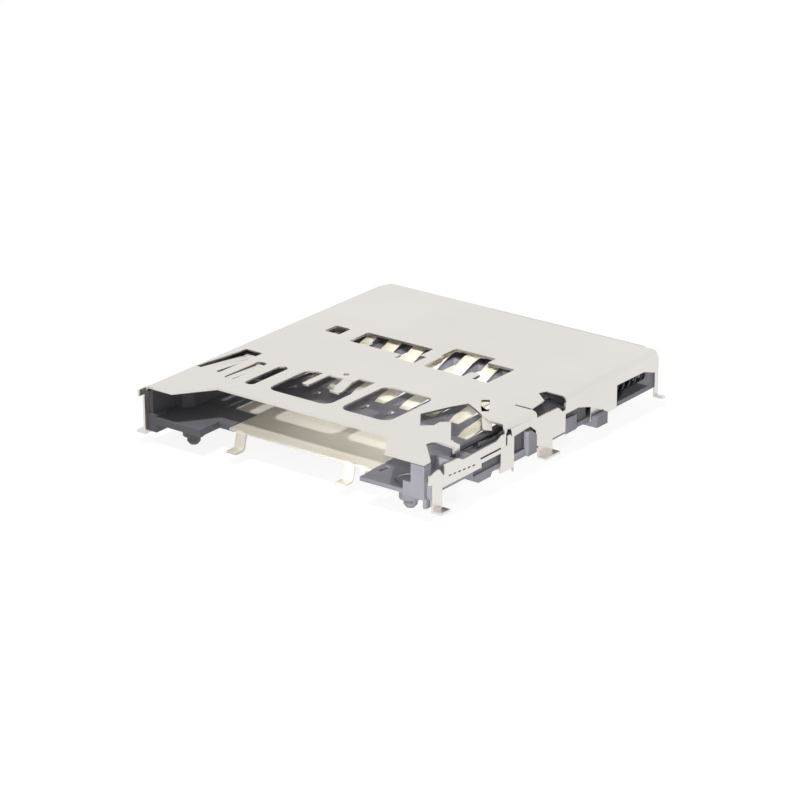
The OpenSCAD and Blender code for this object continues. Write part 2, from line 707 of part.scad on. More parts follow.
// The folded cover
module shell() {
    color(metal) from_front() {
        difference() {
            folded_sheet();
            slab(shell_top - sheet - fold, shell_top + 1) top_cuts();
            across(out_right - fold - sheet, out_right + 1) right_cuts();
            across(out_left - 1, out_left + fold + sheet) left_cuts();
        }
        // rear wall, folded down behind the housing
        block([out_left + 1.4, depth - sheet, wall_z], [out_right - 1.4, depth, shell_top - eps]);
        // feet that are soldered to the board
        for (y = [leg_y, leg2_y, leg3_y])
            block([in_right, y[0], 0], [out_right + foot_l, y[1], sheet]);
        for (y = [left_leg_y, leg2_y, leg3_y])
            block([out_left - foot_l, y[0], 0], [in_left, y[1], sheet]);
        // the left wall's front edge and its ear
        block([out_left, left_leg_y[0], 0], [in_left, eps, ear_z + eps]);
        block([out_left, ear_y, ear_z], [in_left, eps, shell_top - sheet / 2]);
        // tab that is folded under the housing
        block([in_right - 1, tab_y[0], lane_under - sheet], [out_right, tab_end, lane_under]);
        // slanting leaf that holds the cam pin down, and the down-turned end of the tongue
        translate([slider_xc - 1.75, mech_back + 1.15, 0]) rotate(37) leaf(0, 0.75, 0.4, -2.8, 0.27);
        block([out_right - tongue_x - sheet, 4.15, under_shell - 0.4],
            [out_right - tongue_x, 4.85, under_shell + eps]);
        // leaves in the left slots and in the first large window
        intersection() {
            leaf(out_left + 1.7, 2, left_root_y - 0.6, left_leaf_y, leaf_drop);
            slab(0, shell_top + 1) left_leaf_outline(0, left_root_y - 0.6);
        }
        leaf(out_left + 4.32, 0.65, window_y - 0.5, window_y + 4.2, leaf_drop / 2);
        leaf(contact_x(3) - 3.15, 1, window_back + 0.7, window_back - 1.85, 0.5);
    }
}

// The cam lanes in the slider's top: in along the left, out along the right
module heart_lanes() {
    s = [slider_xc, start_y];
    p = [slider_xc - cam_step, start_y - travel];
    q = [slider_xc + cam_step, start_y - travel];
    n = [slider_xc, start_y - lock_travel];
    lane(s, p, groove_w);
    lane(p, n, groove_w);
    lane(n, q, groove_w);
}

module heart_return() {
    q = [slider_xc + cam_step, start_y - travel];
    r = [slider_xc + cam_step, start_y - 0.45 * travel];
    lane(q, r, groove_w);
    lane(r, [slider_xc, start_y], groove_w);
}

// The slider: rail, heart cam, arm behind the card's bevelled corner, spring boss
module slider() {
    arm_z0 = floor_top + run_gap;
    arm_z1 = under_shell - 0.2;
    arm_back = arm_y + arm_t;
    color(plastic) from_front() {
        difference() {
            union() {
                block([slider_x0, slider_y0, slider_z0], [slider_x1, slider_y1, slider_z1]);
                slab(arm_z0, arm_z1) polygon([
                    [slider_x0 + eps, bevel_y],
                    [slider_x0 - card_bevel, bevel_y + card_bevel],
                    [slider_x0 - arm_reach, bevel_y + card_bevel],
                    [slider_x0 - arm_reach, arm_back],
                    [slider_x0 + eps, arm_back]]);
                block([slider_x0 - 0.4, slider_y1 - 1.2, arm_z0], [slider_x0 + 0.7, slider_y1, arm_z1]);
            }
            slab(groove_z, slider_z1 + 1) heart_lanes();
            slab(groove_z - groove_step, slider_z1 + 1) heart_return();
            // seat of the lock spring and room for its bump
            slab(lock_z - lock_room, lock_z + lock_h + lock_room)
                ribbon([[lock_x, lock_bump_y - lock_root - 0.1], [lock_x, lock_bump_y - lock_bend - 0.4]],
                    blade_t + 2 * fit);
            block([slider_x0 - eps, lock_bump_y - lock_bend - 0.6, lock_z - 0.15],
                [slider_x0 + 0.55, lock_bump_y + lock_end + 0.3, lock_z + lock_h + 0.15]);
        }
        translate([slider_xc, slider_y1 + boss_l, coil_z]) rotate([90, 0, 0])
            cylinder(h = boss_l + eps, d = boss_d);
    }
}

// The small leaf on the slider that clicks into the notch in the card's edge
module lock_spring() {
    color(steel) from_front() slab(lock_z, lock_z + lock_h) ribbon(bend([
        [lock_x, lock_bump_y - lock_root],
        [lock_x, lock_bump_y - lock_bend],
        [lock_x - lock_bump, lock_bump_y],
        [lock_x, lock_bump_y + 0.75 * lock_end],
        [lock_x, lock_bump_y + lock_end]], 2 * blade_t), blade_t);
}

// A round wire from a to b, with ball ends that round its bends
module wire(a, b, r) {
    v = b - a;
    translate(a) rotate([0, acos(v[2] / norm(v)), atan2(v[1], v[0])]) cylinder(h = norm(v), r = r);
}

// The bent wire whose one end turns in the housing and whose other end follows the cam
module cam_pin() {
    a = [slider_xc, pivot_y, run_z];
    b = [slider_xc, start_y, run_z];
    color(steel) from_front() {
        wire(a, b, pin_r);
        translate([a[0], a[1], pivot_foot_z]) cylinder(h = run_z - pivot_foot_z, r = pin_r);
        translate([b[0], b[1], pin_foot_z]) cylinder(h = run_z - pin_foot_z, r = pin_r);
        for (p = [a, b])
            translate(p) sphere(pin_r);
    }
}

// The eject spring between the slider and the rear wall
module eject_spring() {
    sides = 8;
    steps = 16;
    y0 = slider_y1;
    y1 = rear_y;
    rad = (coil_d - wire_d) / 2;
    len_y = y1 - y0 - wire_d;
    last = turns * steps;
    // the height grows slowly in the first and last turn, so that the ends lie flat
    function rise(k) = let (u = k / steps, e = turns - u)
        u < 1 ? u * u / 2 : e < 1 ? turns - 1 - e * e / 2 : u - 0.5;
    function centre(k) = [rad * cos(360 * k / steps), y0 + wire_d / 2 + len_y * rise(k) / (turns - 1),
        rad * sin(360 * k / steps)];
    points = [for (k = [0:last], j = [0:sides - 1])
        let (c = centre(k), out = [cos(360 * k / steps), 0, sin(360 * k / steps)], a = 360 * j / sides)
        c + wire_d / 2 * (cos(a) * out + [0, sin(a), 0])];
    faces = concat(
        [for (k = [0:last - 1], j = [0:sides - 1])
            [k * sides + j, k * sides + (j + 1) % sides,
                (k + 1) * sides + (j + 1) % sides, (k + 1) * sides + j]],
        [[for (j = [sides - 1:-1:0]) j]],
        [[for (j = [0:sides - 1]) last * sides + j]]);
    color(steel) from_front() translate([slider_xc, 0, coil_z]) polyhedron(points, faces);
}

housing();
shell();
ground_plate();
contact_1();
contact_2();
contact_3();
contact_4();
contact_5();
contact_6();
contact_7();
contact_8();
contact_9();
protect_spring();
protect_blade();
detect_spring();
detect_blade();
slider();
lock_spring();
cam_pin();
eject_spring();
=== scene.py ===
# %% [markdown]
# # A memory card socket
# The socket is a folded cover of thin bright sheet over a dark moulded base. Pale plated strips and
# a small spring mechanism lie between the two. The measured solids are loaded as a fixed frame.
# This script gives them their finishes, and replaces the thin bent pieces with smoother ones.

# %% Load the frame
import math

import bmesh
import bpy
import numpy as np
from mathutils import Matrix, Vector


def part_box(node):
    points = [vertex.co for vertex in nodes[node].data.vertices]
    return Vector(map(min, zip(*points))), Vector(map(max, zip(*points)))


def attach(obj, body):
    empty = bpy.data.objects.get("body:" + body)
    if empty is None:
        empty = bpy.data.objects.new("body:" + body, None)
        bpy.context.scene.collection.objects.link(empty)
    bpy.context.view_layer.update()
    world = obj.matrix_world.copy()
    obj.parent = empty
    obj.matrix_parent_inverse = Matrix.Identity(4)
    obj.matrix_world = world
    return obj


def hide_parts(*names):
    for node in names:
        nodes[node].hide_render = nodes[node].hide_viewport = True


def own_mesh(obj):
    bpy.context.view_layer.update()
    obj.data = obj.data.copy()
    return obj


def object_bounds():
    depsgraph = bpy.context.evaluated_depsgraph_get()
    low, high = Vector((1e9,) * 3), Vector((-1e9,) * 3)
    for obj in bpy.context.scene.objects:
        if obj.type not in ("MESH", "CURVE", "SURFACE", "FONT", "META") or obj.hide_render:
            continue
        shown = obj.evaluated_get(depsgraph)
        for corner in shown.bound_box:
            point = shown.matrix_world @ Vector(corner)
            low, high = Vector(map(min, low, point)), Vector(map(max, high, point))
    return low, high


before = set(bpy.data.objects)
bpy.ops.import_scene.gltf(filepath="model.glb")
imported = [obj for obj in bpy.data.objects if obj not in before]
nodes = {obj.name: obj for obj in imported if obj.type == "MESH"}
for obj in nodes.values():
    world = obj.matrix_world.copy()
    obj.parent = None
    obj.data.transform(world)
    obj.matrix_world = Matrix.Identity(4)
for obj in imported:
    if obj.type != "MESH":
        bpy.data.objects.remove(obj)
cad_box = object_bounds()
MM = 0.001
# The socket's front edge lies this far in front of the origin, in millimetres
FRONT = 2.0
print("nodes:", len(nodes), "box:", cad_box)

# %% [markdown]
# ## The camera
# The photograph looks down at the front right corner from about 21 degrees. A long lens keeps the
# far edge nearly as wide as the near one. The place and the direction are those read from it.

# %% Camera
AZIMUTH, ELEVATION = math.radians(36.93), math.radians(21.07)
LENS, SENSOR = 153, 36
CAMERA_PLACE = np.array([155.4, -193.6, 101.1]) * MM

camera_data = bpy.data.cameras.new("camera")
camera_data.lens, camera_data.sensor_width = LENS, SENSOR
camera_data.clip_start = 10 * MM
camera = bpy.data.objects.new("camera", camera_data)
camera.location = CAMERA_PLACE
camera.rotation_euler = (math.pi / 2 - ELEVATION, 0, AZIMUTH)
bpy.context.collection.objects.link(camera)
bpy.context.scene.camera = camera
print("camera at", tuple(camera.location))

# %% [markdown]
# ## Materials
# Every finish is a small network of nodes. One function turns a hex colour into linear light, one
# adds a node with its settings and links, and one starts a material with its shader.

# %% Helpers for materials
def linear(code):
    """The linear colour of an sRGB hex code.

    Each channel c becomes c / 12.92 where it is dark, and ((c + 0.055) / 1.055)^2.4 elsewhere.
    """
    c = np.array([int(code[i:i + 2], 16) for i in (1, 3, 5)]) / 255
    c = np.where(c <= 0.04045, c / 12.92, ((c + 0.055) / 1.055) ** 2.4)
    return (*c, 1.0)


def add(tree, kind, links=None, **settings):
    """Adds a node, sets its properties or its sockets by name, and links its sockets to others."""
    node = tree.nodes.new(kind)
    for name, value in settings.items():
        if hasattr(node, name):
            setattr(node, name, value)
        else:
            node.inputs[name.replace("_", " ")].default_value = value
    for name, source in (links or {}).items():
        tree.links.new(source, node.inputs[name])
    return node


def material(name, **settings):
    """A new material with its shader and output; the settings are the shader's plain values."""
    mat = bpy.data.materials.new(name)
    mat.use_nodes = True
    tree = mat.node_tree
    tree.nodes.clear()
    shader = add(tree, "ShaderNodeBsdfPrincipled", **settings)
    add(tree, "ShaderNodeOutputMaterial", {"Surface": shader.outputs["BSDF"]})
    return mat, tree, shader


print("mid grey in linear light:", round(float(linear("#808080")[0]), 3))

# %% [markdown]
# Patterns could be wrapped round a piece as a picture is, but then they would stretch and show a
# seam. Here they are worked out in the object's own metres, so they pass through it like grain
# through wood, and a size in millimetres gives each of them its scale.

# %% Helpers for patterns
def spread(tree, fac, low, high):
    """A map from the range 0 to 1 onto low to high."""
    node = add(tree, "ShaderNodeMapRange", {"Value": fac}, To_Min=low, To_Max=high)
    return node.outputs["Result"]


def two_tones(tree, fac, dark, light, start=0.3, end=0.7):
    """A colour that goes from dark to light while fac goes from start to end."""
    ramp = add(tree, "ShaderNodeValToRGB", {"Fac": fac})
    first, last = ramp.color_ramp.elements
    first.position, last.position = start, end
    first.color, last.color = linear(dark), linear(light)
    return ramp.outputs["Color"]


def noise(tree, size, detail=2.0, stretch=(1, 1, 1)):
    """Noise whose spots are size millimetres across, drawn out where stretch is below 1.

    The object's coordinates are in metres, so the scale is one over the size in metres.
    """
    place = add(tree, "ShaderNodeTexCoord")
    turned = add(tree, "ShaderNodeMapping", {"Vector": place.outputs["Object"]}, Scale=stretch)
    return add(tree, "ShaderNodeTexNoise", {"Vector": turned.outputs["Vector"]},
               Scale=1 / (size * MM), Detail=detail).outputs["Fac"]


def dress(tree, shader, colour, gloss, height, strength, depth):
    """Links a colour and a roughness to the shader, and a bump of depth millimetres."""
    bump = add(tree, "ShaderNodeBump", {"Height": height}, Strength=strength, Distance=depth * MM)
    for socket, source in (("Base Color", colour), ("Roughness", gloss),
                           ("Normal", bump.outputs["Normal"])):
        tree.links.new(source, shader.inputs[socket])


print("a pattern of 0.1 mm has the scale", round(1 / (0.1 * MM)))

# %% [markdown]
# Rolled sheet has fine lines along the way it was rolled, here Y. They change its gloss more than
# its height. A slow cloud gives the faint drift of tone that flat bright sheet shows. The cover is
# plain metal. The tin on the plate is so matt that it is mostly a pale coat with a little metal.

# %% Rolled and plated sheet
def rolled_sheet(name, dark, light, rough, metallic):
    """Satin sheet: rolling lines 0.11 mm apart, a drift of tone over 9 mm and a soft gloss."""
    mat, tree, shader = material(name, Metallic=metallic)
    lines = noise(tree, 0.11, 3.0, (1, 0.04, 1))
    cloud = noise(tree, 9, 2.0)
    dress(tree, shader, two_tones(tree, cloud, dark, light),
          spread(tree, lines, rough - 0.05, rough + 0.07), lines, 0.1, 0.02)
    return mat


# nickel-plated steel sheet of the folded cover
SHEET = rolled_sheet("nickel_plated_sheet", "#dedad4", "#e2ded9", 0.3, 1.0)
# matte tin over bronze on the plate in the mouth
PLATE = rolled_sheet("matte_tinned_bronze", "#e6dfd0", "#efeadc", 0.45, 0.25)
print("sheet finishes:", SHEET.name, PLATE.name)

# %% [markdown]
# The base is moulded in glass-filled plastic, which is matt and slightly speckled. The grain comes
# from the spark-eroded mould. It is about 0.05 mm across, and drawn at 0.11 mm so that it shows.

# %% Moulded plastic
FIBRE = "#a3a2aa"


def moulded_plastic(name, dark, light, rough):
    """Filled plastic: a fine grain, pale fibres 0.2 mm across, and a drift of tone over 4 mm."""
    mat, tree, shader = material(name, IOR=1.5)
    grain = noise(tree, 0.11, 2.0)
    fibres = noise(tree, 0.2, 1.0, (1, 0.3, 1))
    cloud = noise(tree, 4, 3.0)
    speck = add(tree, "ShaderNodeMapRange", {"Value": fibres},
                From_Min=0.66, From_Max=0.78, To_Max=0.22)
    base = add(tree, "ShaderNodeMix", data_type="RGBA", B=linear(FIBRE))
    tree.links.new(speck.outputs["Result"], base.inputs["Factor"])
    tree.links.new(two_tones(tree, cloud, dark, light), base.inputs["A"])
    dress(tree, shader, base.outputs["Result"],
          spread(tree, grain, rough - 0.06, rough + 0.08), grain, 0.3, 0.03)
    return mat


# dark glass-filled plastic of the base, and the smoother acetal of the slider
HOUSING = moulded_plastic("glass_filled_plastic", "#6c6b72", "#79787f", 0.5)
SLIDER = moulded_plastic("acetal_slider", "#414045", "#4d4c51", 0.4)
print("plastics:", HOUSING.name, SLIDER.name)

# %% [markdown]
# Contacts are stamped from bronze strip and flashed with gold over matte tin, so they are pale and
# soft in their shine. Wire has fine lines along its length from the die.

# %% Plated strip and drawn wire
def plated_strip(name, base, warm, rough, metallic):
    """Plated strip or wire: patches of tone and gloss 1.1 mm across, and lines 0.12 mm apart."""
    mat, tree, shader = material(name, Metallic=metallic)
    cloud = noise(tree, 1.1, 3.0)
    lines = noise(tree, 0.12, 2.0, (1, 0.08, 1))
    dress(tree, shader, two_tones(tree, cloud, base, warm),
          spread(tree, cloud, rough - 0.05, rough + 0.08), lines, 0.08, 0.01)
    return mat


# pale gold flash over matte tin on the contacts and the switch blades
GOLD = plated_strip("gold_flashed_bronze", "#f3ead4", "#faf4e4", 0.4, 0.2)
# dark drawn spring steel of the cam pin, the coil and the lock leaf
STEEL = plated_strip("drawn_spring_steel", "#3f3f42", "#565659", 0.35, 0.9)
print("metals:", GOLD.name, STEEL.name)

# %% [markdown]
# ## Every piece finds its place
# A piece needs three facts: its finish, the body that carries it, and the measured solid that it
# stands for. The solid stays as the hidden collision shape, so the piece can be finer than it.

# %% A finished piece
def settle(obj, body, mat, replaced):
    """Links the piece and gives its finish, its body and the nodes it stands for."""
    obj.data.materials.append(mat)
    bpy.context.collection.objects.link(obj)
    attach(obj, body)
    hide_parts(*replaced)


# %% [markdown]
# ## Hollows in the base
# Three small hollows of the base are cut as boxes before its edges are rounded, so that the inside
# shows dark there as in the photograph. An exact cut keeps the faces around them flat.

# %% Cutting hollows
# the faces of a box whose corners count up in x first, then in y, then in z
BOX_FACES = [(0, 2, 3, 1), (4, 5, 7, 6), (0, 1, 5, 4), (2, 6, 7, 3), (0, 4, 6, 2), (1, 3, 7, 5)]
# lowest and highest corner of each, in millimetres to the right, back from the front edge and up
HOLLOWS = {"beside the catch": ((14.0, 11.0, 1.4), (14.3, 12.65, 3.0)),
           "low front of the pivot block": ((11.9, 1.6, 2.0), (14.1, 3.7, 3.2)),
           "step beside the corner block": ((13.6, 0.4, 2.4), (14.1, 1.1, 3.8))}


def without(mesh, boxes):
    """A copy of the mesh with boxes cut out, each given by its lowest and highest corner."""
    whole = bpy.data.objects.new("whole", mesh)
    bpy.context.collection.objects.link(whole)
    cutters = []
    for box in boxes:
        xs, ys, zs = zip(*box)
        points = [(x * MM, (y - FRONT) * MM, z * MM) for z in zs for y in ys for x in xs]
        shape = bpy.data.meshes.new("cutter")
        shape.from_pydata(points, [], BOX_FACES)
        cutters.append(bpy.data.objects.new("cutter", shape))
        bpy.context.collection.objects.link(cutters[-1])
        cut = whole.modifiers.new("cut", "BOOLEAN")
        cut.operation, cut.solver, cut.object = "DIFFERENCE", "EXACT", cutters[-1]
    ready = whole.evaluated_get(bpy.context.evaluated_depsgraph_get())
    left = bpy.data.meshes.new_from_object(ready)
    for helper in [whole] + cutters:
        bpy.data.objects.remove(helper)
    return left


print("hollows:", ", ".join(HOLLOWS))

# %% [markdown]
# ## Rounded copies of the solids
# A pressed or moulded edge is never quite sharp, and it catches a thin line of light. Each large
# solid is copied, its triangles are joined to flat faces, and its sharp edges are rounded by a few
# hundredths of a millimetre. An edge that has no room for that stays as it is.

# %% Where an edge can be rounded
SHARP = math.radians(40)
# how many edge widths the shortest edge at a corner has to be, and the cosine of too close a pair
ROOM, TOO_CLOSE = 2.5, 0.9


def crowded(vert, sharp, width):
    """True where an edge at the corner is too short to round, or two sharp ones nearly meet."""
    if min(e.calc_length() for e in vert.link_edges) < ROOM * width * MM:
        return True
    ways = [(e.other_vert(vert).co - vert.co).normalized() for e in vert.link_edges if e in sharp]
    return any(a.dot(b) > TOO_CLOSE for i, a in enumerate(ways) for b in ways[:i])


print("edges sharper than", round(math.degrees(SHARP)), "degrees are rounded")

# %% [markdown]
# Where rounded edges almost touch, they can leave corners that nearly lie in one point, and crumbs
# of a few loose faces. Both are cleared away. Some steps leave the faces in a chance order, so they
# are sorted at the end, and the script gives the same mesh each time.

# %% Clearing up after the rounding
# a corner nearer than this to its neighbour may be welded to it
SPARE = 0.02 * MM
# a group of fewer faces than this is a crumb
CRUMB = 8


def islands(faces):
    """Groups of faces that are joined by their edges."""
    left = set(faces)
    while left:
        group, fresh = set(), {left.pop()}
        while fresh:
            group |= fresh
            fresh = {g for f in fresh for e in f.edges for g in e.link_faces} - group
        left -= group
        yield group


def weld_spare_corners(work):
    """Welds a corner with only two edges to its neighbour, where the two nearly touch.

    Such a corner adds nothing to the form, and a long face would fold over itself there.
    """
    spare = {}
    for v in work.verts:
        edge = min(v.link_edges, key=lambda e: e.calc_length())
        near = edge.other_vert(v)
        if len(v.link_edges) == 2 and edge.calc_length() < SPARE and near not in spare:
            spare[v] = near
    bmesh.ops.weld_verts(work, targetmap=spare)


def sort_faces(work):
    """Puts the faces in the order of the numbers of their corners."""
    work.verts.index_update()
    faces = sorted(work.faces, key=lambda f: sorted(v.index for v in f.verts))
    for i, face in enumerate(faces):
        face.index = i
    work.faces.sort()


print("crumbs are groups of fewer than", CRUMB, "faces")

# %% [markdown]
# The rounding is a bevel of two steps. Its normals are then weighted by the size of the faces, so
# that large faces look flat and only the rounded edge turns the light.

# %% Rounded copies
# faces that meet below the first angle become one, and those below the second are shaded as one
FLAT, SMOOTH = math.radians(0.5), math.radians(42)
SAME_POINT, NO_LENGTH = 0.002 * MM, 0.001 * MM


def rounded(node, width, body, mat, hollows=()):
    """A copy of a node's mesh with its sharp edges rounded by width millimetres."""
    work = bmesh.new()
    work.from_mesh(without(nodes[node].data, hollows) if hollows else nodes[node].data)
    bmesh.ops.remove_doubles(work, verts=work.verts, dist=SAME_POINT)
    bmesh.ops.dissolve_limit(work, angle_limit=FLAT, verts=work.verts, edges=work.edges)
    sharp = {e for e in work.edges if e.calc_face_angle(0) > SHARP}
    full = {v for e in sharp for v in e.verts if crowded(v, sharp, width)}
    sharp = [e for e in work.edges if e in sharp and not full.intersection(e.verts)]
    bmesh.ops.bevel(work, geom=sharp, offset=width * MM, offset_type="OFFSET", segments=2,
                    profile=0.5, affect="EDGES", clamp_overlap=False)
    bmesh.ops.dissolve_degenerate(work, dist=NO_LENGTH, edges=work.edges)
    weld_spare_corners(work)
    crumbs = [f for group in islands(work.faces) if len(group) < CRUMB for f in group]
    bmesh.ops.delete(work, geom=crumbs, context="FACES")
    sort_faces(work)
    mesh = bpy.data.meshes.new(node + "_rounded")
    work.to_mesh(mesh)
    work.free()
    mesh.shade_smooth()
    mesh.set_sharp_from_angle(angle=SMOOTH)
    obj = bpy.data.objects.new(node + "_rounded", mesh)
    settle(obj, body, mat, [node])
    obj.modifiers.new("flat faces first", "WEIGHTED_NORMAL").keep_sharp = True
    print(node, "faces:", len(mesh.polygons), "edges rounded:", len(sharp))


rounded("shell", 0.025, "base", SHEET)
rounded("housing", 0.035, "base", HOUSING, HOLLOWS.values())
rounded("ground_plate", 0.02, "base", PLATE)
rounded("slider", 0.03, "slider", SLIDER)

# %% [markdown]
# ## Bent strips
# Contacts, blades and leaves are strips bent along a plane path. A bent strip never turns in a
# point, so each corner of the path becomes a short curve.

# %% Bent paths
def bend(points, start, count=8):
    """The path with each inner corner p replaced by p + a(1-u)^2 + b u^2 for u from 0 to 1.

    The vectors a and b have the length start; a points back along the path and b points on.
    """
    p = np.array(points, float)
    u = np.linspace(0, 1, count + 1)[:, None]
    rows = [p[:1]]
    for last, here, coming in zip(p, p[1:], p[2:]):
        a = (last - here) * start / np.linalg.norm(last - here)
        b = (coming - here) * start / np.linalg.norm(coming - here)
        rows.append(here + a * (1 - u) ** 2 + b * u ** 2)
    return np.vstack(rows + [p[-1:]])


def directions(path):
    """The unit direction of the path at each point, from the two sides of the point."""
    step = np.diff(path, axis=0)
    step /= np.linalg.norm(step, axis=1)[:, None]
    both = np.vstack([step[:1], step[:-1] + step[1:], step[-1:]])
    return both / np.linalg.norm(both, axis=1)[:, None]


print("path points with one bend:", len(bend([(0, 0), (1, 0), (1, 1)], 0.2)))

# %% [markdown]
# A strip is a row of points, its cross-section, carried along the path and kept square to it. The
# corners of the section are rounded as on stamped and tumbled strip, and the tip of a contact is
# rounded in plan, so that it doesn't catch on the card.

# %% Strips
def section(width, thick, corner, count=3):
    """The outline of a strip: a rectangle of width by thick whose corners are quarter circles."""
    turn = np.linspace(0, math.pi / 2, count + 1)
    arc = np.stack([np.cos(turn), np.sin(turn)], 1) * corner
    core = np.array([width / 2 - corner, thick / 2 - corner])
    quarters = [((1, 1), arc), ((-1, 1), arc[::-1]), ((-1, -1), arc), ((1, -1), arc[::-1])]
    return np.vstack([np.array(s) * (core + a) for s, a in quarters])


def strip(path, width, thick, corner, round_end=0.0):
    """Rows (along, up, across) of a strip; its last corners are rounded by round_end in plan.

    At the distance s from the end the half width shrinks by r - sqrt(r^2 - (r-s)^2).
    """
    if round_end:
        last, end = path[-2], path[-1]
        unit = (end - last) / np.linalg.norm(end - last)
        back = round_end * (1 - np.sin(np.linspace(0, math.pi / 2, 6)))
        path = np.vstack([path[:-1], end - unit * back[:, None]])
    steps = np.linalg.norm(np.diff(path, axis=0), axis=1)
    left = np.append(np.cumsum(steps[::-1])[::-1], 0)
    inside = np.clip(round_end - left, 0, None)
    cut = round_end - np.sqrt(np.clip(round_end ** 2 - inside ** 2, 0, None))
    d = directions(path)
    normal = np.stack([-d[:, 1], d[:, 0]], 1)
    rows = []
    for p, n, c in zip(path, normal, cut):
        s = section(width - 2 * c, thick, corner)
        rows.append(np.column_stack([p + n * s[:, 1:], s[:, 0]]))
    return np.array(rows)


print("points around a strip:", len(section(1.2, 0.18, 0.035)))

# %% [markdown]
# The rows are joined to a closed tube, with one face at each end, because a printed or weighed
# piece has to have an inside. A piece may be several tubes that lie in one another, such as a
# blade and its tail.

# %% Closed pieces
CREASE = math.radians(50)


def closed(rows):
    """Points and faces of a closed tube: neighbouring rows joined, and one face at each end."""
    count, around = rows.shape[:2]
    k = np.arange(count * around).reshape(count, around)
    a, b = k[:-1], k[1:]
    quads = np.stack([a, np.roll(a, -1, 1), np.roll(b, -1, 1), b], -1).reshape(-1, 4)
    return rows.reshape(-1, 3), quads.tolist() + [k[0][::-1].tolist(), k[-1].tolist()]


def piece(name, tubes, body, mat, replaced):
    """One piece of closed tubes given in millimetres, with its faces turned outwards."""
    work = bmesh.new()
    for points, faces in tubes:
        corners = [work.verts.new(p) for p in points * MM]
        for face in faces:
            work.faces.new([corners[i] for i in face])
    bmesh.ops.recalc_face_normals(work, faces=work.faces)
    mesh = bpy.data.meshes.new(name)
    work.to_mesh(mesh)
    work.free()
    mesh.shade_smooth()
    mesh.set_sharp_from_angle(angle=CREASE)
    obj = bpy.data.objects.new(name, mesh)
    settle(obj, body, mat, replaced)
    return obj


print("faces of a tube of two rows:", len(closed(strip(np.eye(2), 1.0, 0.2, 0.03))[1]))

# %% [markdown]
# ### The nine contacts
# A contact starts at its soldering foot, rises through the floor, lies in the floor's underside
# and springs up to the card. Its lengths are measured from the socket's front edge. The place and
# the width of each come from its solid, because two of the nine are narrower.

# %% Contacts
STRIP, EDGE, CONTACT_BEND, TIP_ROUND = 0.18, 0.035, 0.3, 0.35
FLOOR, FLOOR_TOP = 0.9, 1.5
ROOT, TOUCH = 13.6, 23.9
TAIL = 1.4
# the strip climbs through the floor between these two distances from its root
CLIMB_START, CLIMB_END = 0.4, 1.4
# the sprung end: how far from the touching point along Y, and how high
SPRUNG_END = [(-2.9, 2.1), (-0.9, 2.85), (0.0, 3.0), (1.0, 2.55)]
BARB_WIDTH, BARB_THICK, BARB_EDGE = 0.17, 0.19, 0.03
BARB_ASIDE, BARB_BEHIND = 0.09, 0.1


def contact(n):
    """One contact: its path in Y and Z, swept with the width of its solid, and its small barb.

    It stands nearer to the front than contact 1 by the difference of the rear ends of both solids.
    """
    low, high = (np.array(c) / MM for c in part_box(f"contact_{n}"))
    middle, width = (low[0] + high[0]) / 2, high[0] - low[0]
    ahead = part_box("contact_1")[1][1] / MM - high[1]
    riser = low[1] + FRONT + TAIL
    body = FLOOR + STRIP / 2
    path = bend([
        (riser - TAIL, STRIP / 2), (riser, STRIP / 2), (riser, body),
        (ROOT - ahead + CLIMB_START, body), (ROOT - ahead + CLIMB_END, FLOOR_TOP - STRIP / 2),
        *[(TOUCH - ahead + along, height) for along, height in SPRUNG_END]], CONTACT_BEND)
    path[:, 0] -= FRONT
    rows = strip(path, width, STRIP, EDGE, TIP_ROUND)
    beam = np.stack([middle + rows[..., 2], rows[..., 0], rows[..., 1]], -1)
    rows = strip(np.array([(body, 0.0), (FLOOR_TOP, 0.0)]), BARB_WIDTH, BARB_THICK, BARB_EDGE)
    barb = np.stack([middle + BARB_ASIDE + rows[..., 2],
                     riser + BARB_BEHIND - FRONT + rows[..., 1], rows[..., 0]], -1)
    piece(f"contact_{n}_strip", [closed(beam), closed(barb)], "base", GOLD,
          [f"contact_{n}"])
    return middle


places = [contact(n) for n in range(1, 10)]
print("contacts at", [round(float(x), 3) for x in places])

# %% [markdown]
# ### The switches
# Each switch has a sprung blade with a bump that the card pushes aside, and a straight blade
# beside it. Both stand on edge, and a narrow tail turns out under the wall to its foot.

# %% Switch blades
BLADE, BLADE_EDGE, BLADE_Z, BLADE_H = 0.15, 0.03, 2.0, 1.2
SPRING_X, BUMP_X, BLADE_X, BLADE_ROOT = -12.95, -11.85, -13.55, 1.2
TAIL_X, TAIL_WIDTH, TAIL_BEND = -15.0, 0.6, 0.2
POCKET, POCKETS = 6.0, {"protect": 13.6, "detect": 22.4}
# the sprung blade's corners: share of the pocket's length, and place across
SPRING_SHAPE = [(0.08, SPRING_X), (0.43, SPRING_X + BLADE), (0.62, BUMP_X),
                (0.85, SPRING_X + BLADE)]
# the share of the pocket's length at which the straight blade starts
STRAIGHT_START = 0.23


def on_edge(path, z, height, thick):
    """A strip on edge: its path lies in X and Y, and its width stands up from z."""
    rows = strip(path, height, thick, BLADE_EDGE)
    return closed(np.stack([rows[..., 0], rows[..., 1] - FRONT,
                            z + height / 2 + rows[..., 2]], -1))


def tail(x, y):
    """The tail of a blade, from y on: down beside the wall and out to its foot."""
    path = bend([(x, BLADE_Z + BLADE_H / 2), (x, BLADE / 2), (TAIL_X, BLADE / 2)], TAIL_BEND)
    rows = strip(path, TAIL_WIDTH, BLADE, BLADE_EDGE)
    return closed(np.stack([rows[..., 0], y + TAIL_WIDTH / 2 - FRONT + rows[..., 2],
                            rows[..., 1]], -1))


